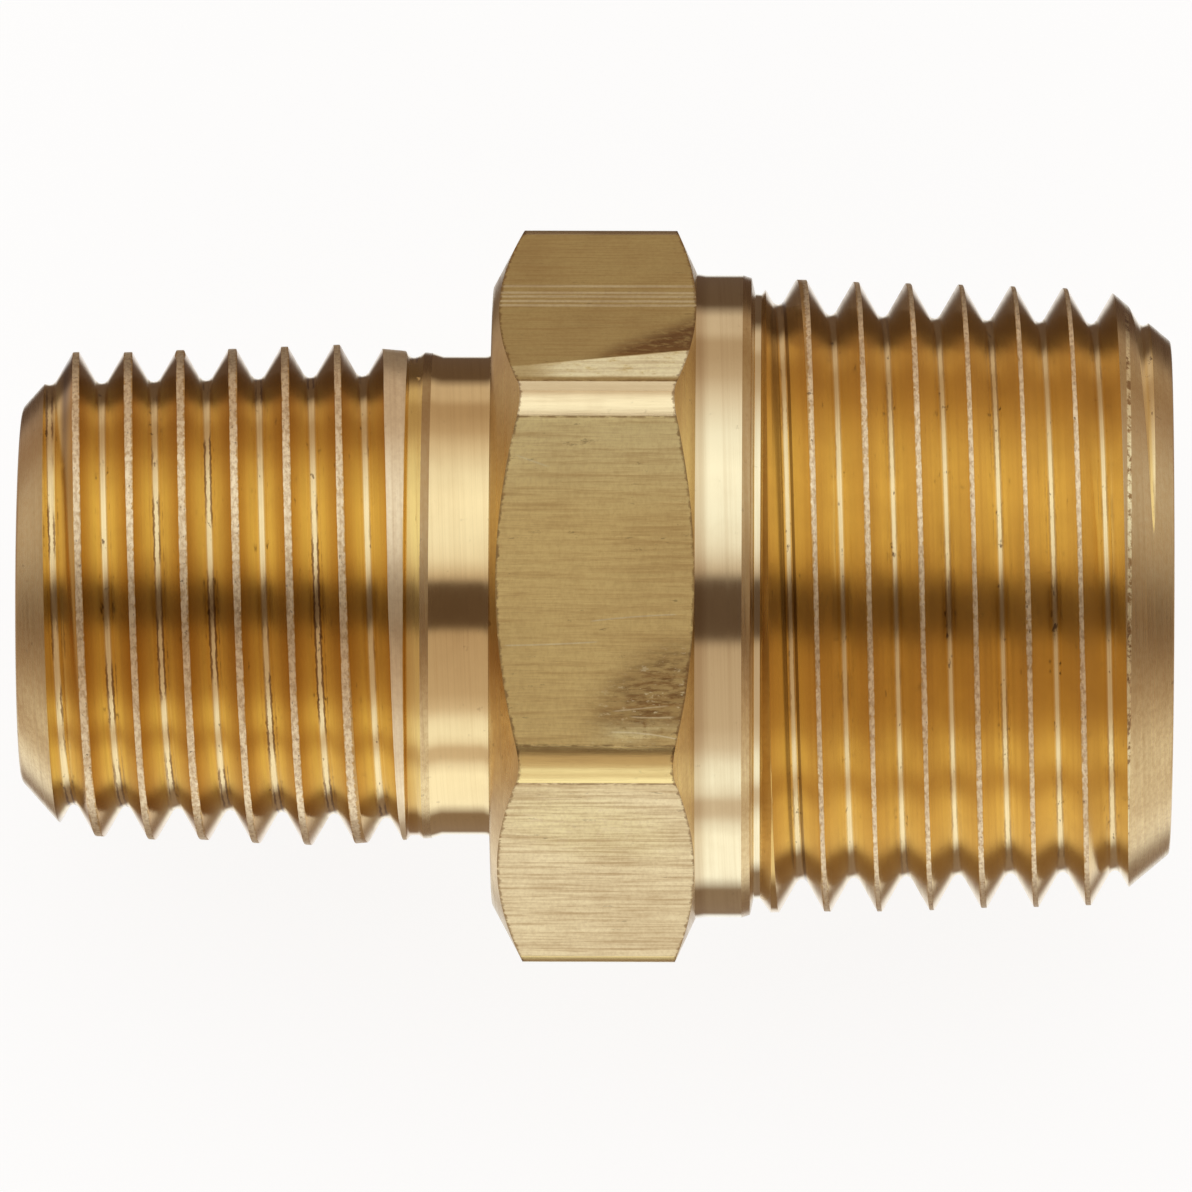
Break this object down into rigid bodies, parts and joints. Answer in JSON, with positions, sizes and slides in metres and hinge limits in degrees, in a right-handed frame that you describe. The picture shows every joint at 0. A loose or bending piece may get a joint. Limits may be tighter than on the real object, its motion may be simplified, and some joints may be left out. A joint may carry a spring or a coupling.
{
  "type": "hex nipple",
  "caption": "Reducing hex nipple: a hexagon wrench grip between two male taper pipe threads of different size, with a stepped bore right through.",
  "frame": {"origin": "on the bore's axis, midway between the two end faces, which is also midway along the hexagon", "axes": "+X along the bore towards the large (3/8) end, +Z normal to one hexagon flat, +Y towards a hexagon corner"},
  "size_m": [0.031, 0.0198, 0.0174],
  "materials": {
    "brass": "turned and threaded free-machining brass; drawn flats on the hexagon"
  },
  "bodies": {
    "root": {"nipple_body": "brass"}
  },
  "joints": []
}
